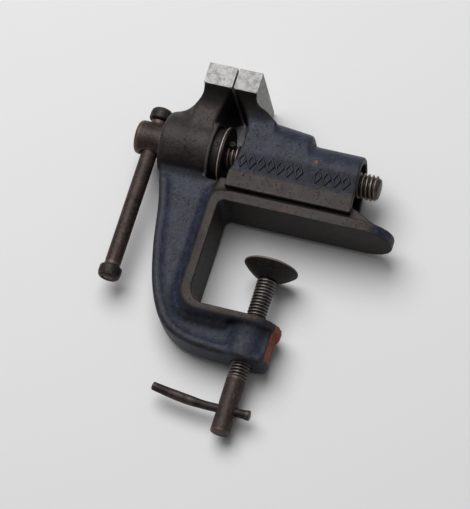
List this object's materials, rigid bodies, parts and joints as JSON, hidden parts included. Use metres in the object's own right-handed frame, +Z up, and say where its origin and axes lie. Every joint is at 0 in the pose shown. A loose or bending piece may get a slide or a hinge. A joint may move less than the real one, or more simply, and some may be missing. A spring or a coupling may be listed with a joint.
{
  "type": "bench vise",
  "caption": "Small clamp-on table vise: C-frame casting with a front jaw, a hollow sliding rear jaw on a rail, a screw with a sliding handle and a table clamp screw.",
  "frame": {"origin": "underside of the table plate, on the axis of the clamp screw, in the vise's plane of symmetry", "axes": "+X along the main screw from the handle to the rear, +Z up towards the jaws, +Y across the jaws"},
  "size_m": [0.1372, 0.0444, 0.1745],
  "materials": {
    "painted_castings": "worn dark blue-black paint over rough cast iron, ground bright on the jaws",
    "worn_steel": "dark brown patina with worn bright edges",
    "patinated_bar": "brown patina, lightly speckled, satin",
    "thread_steel": "grey steel thread, greased and dull",
    "bright_steel": "rubbed bright at the edge"
  },
  "bodies": {
    "frame": {"frame_casting": "painted_castings"},
    "jaw": {"sliding_jaw": "painted_castings", "main_nut": "worn_steel", "nut_pin": "worn_steel"},
    "screw": {"main_screw": "worn_steel", "thrust_collar": "worn_steel", "collar_pin": "bright_steel", "retaining_washer": "bright_steel", "washer_pin": "bright_steel"},
    "handle": {"handle_bar": "patinated_bar", "handle_knob_upper": "patinated_bar", "handle_knob_lower": "patinated_bar"},
    "pad": {"clamp_pad": "worn_steel"},
    "clamp": {"clamp_screw": "thread_steel"},
    "clamp_handle": {"clamp_bar": "patinated_bar"}
  },
  "joints": [
    {"name": "screw_turn", "type": "hinge", "parent": "frame", "child": "screw", "pos_m": [-0.0569, 0, 0.028], "axis": [1, 0, 0], "range_deg": [-6120, 135]},
    {"name": "jaw_slide", "type": "slide", "parent": "frame", "child": "jaw", "axis": [1, 0, 0], "range_m": [-0.0008, 0.036]},
    {"name": "handle_slide", "type": "slide", "parent": "screw", "child": "handle", "axis": [0, 0, 1], "range_m": [-0.0012, 0.0602]},
    {"name": "clamp_travel", "type": "slide", "parent": "frame", "child": "pad", "axis": [0, 0, 1], "range_m": [-0.0222, 0.0158]},
    {"name": "clamp_screw_turn", "type": "hinge", "parent": "pad", "child": "clamp", "pos_m": [0, 0, -0.064], "axis": [0, 0, 1], "range_deg": [-5040, 3600]},
    {"name": "clamp_bar_slide", "type": "slide", "parent": "clamp", "child": "clamp_handle", "axis": [1, 0, 0], "range_m": [-0.0024, 0.006]}
  ],
  "couplings": [
    {"joint": "jaw_slide", "follows": "screw_turn", "m_per_rad": -0.00033688},
    {"joint": "clamp_screw_turn", "follows": "clamp_travel", "rad_per_m": 3957.9}
  ]
}
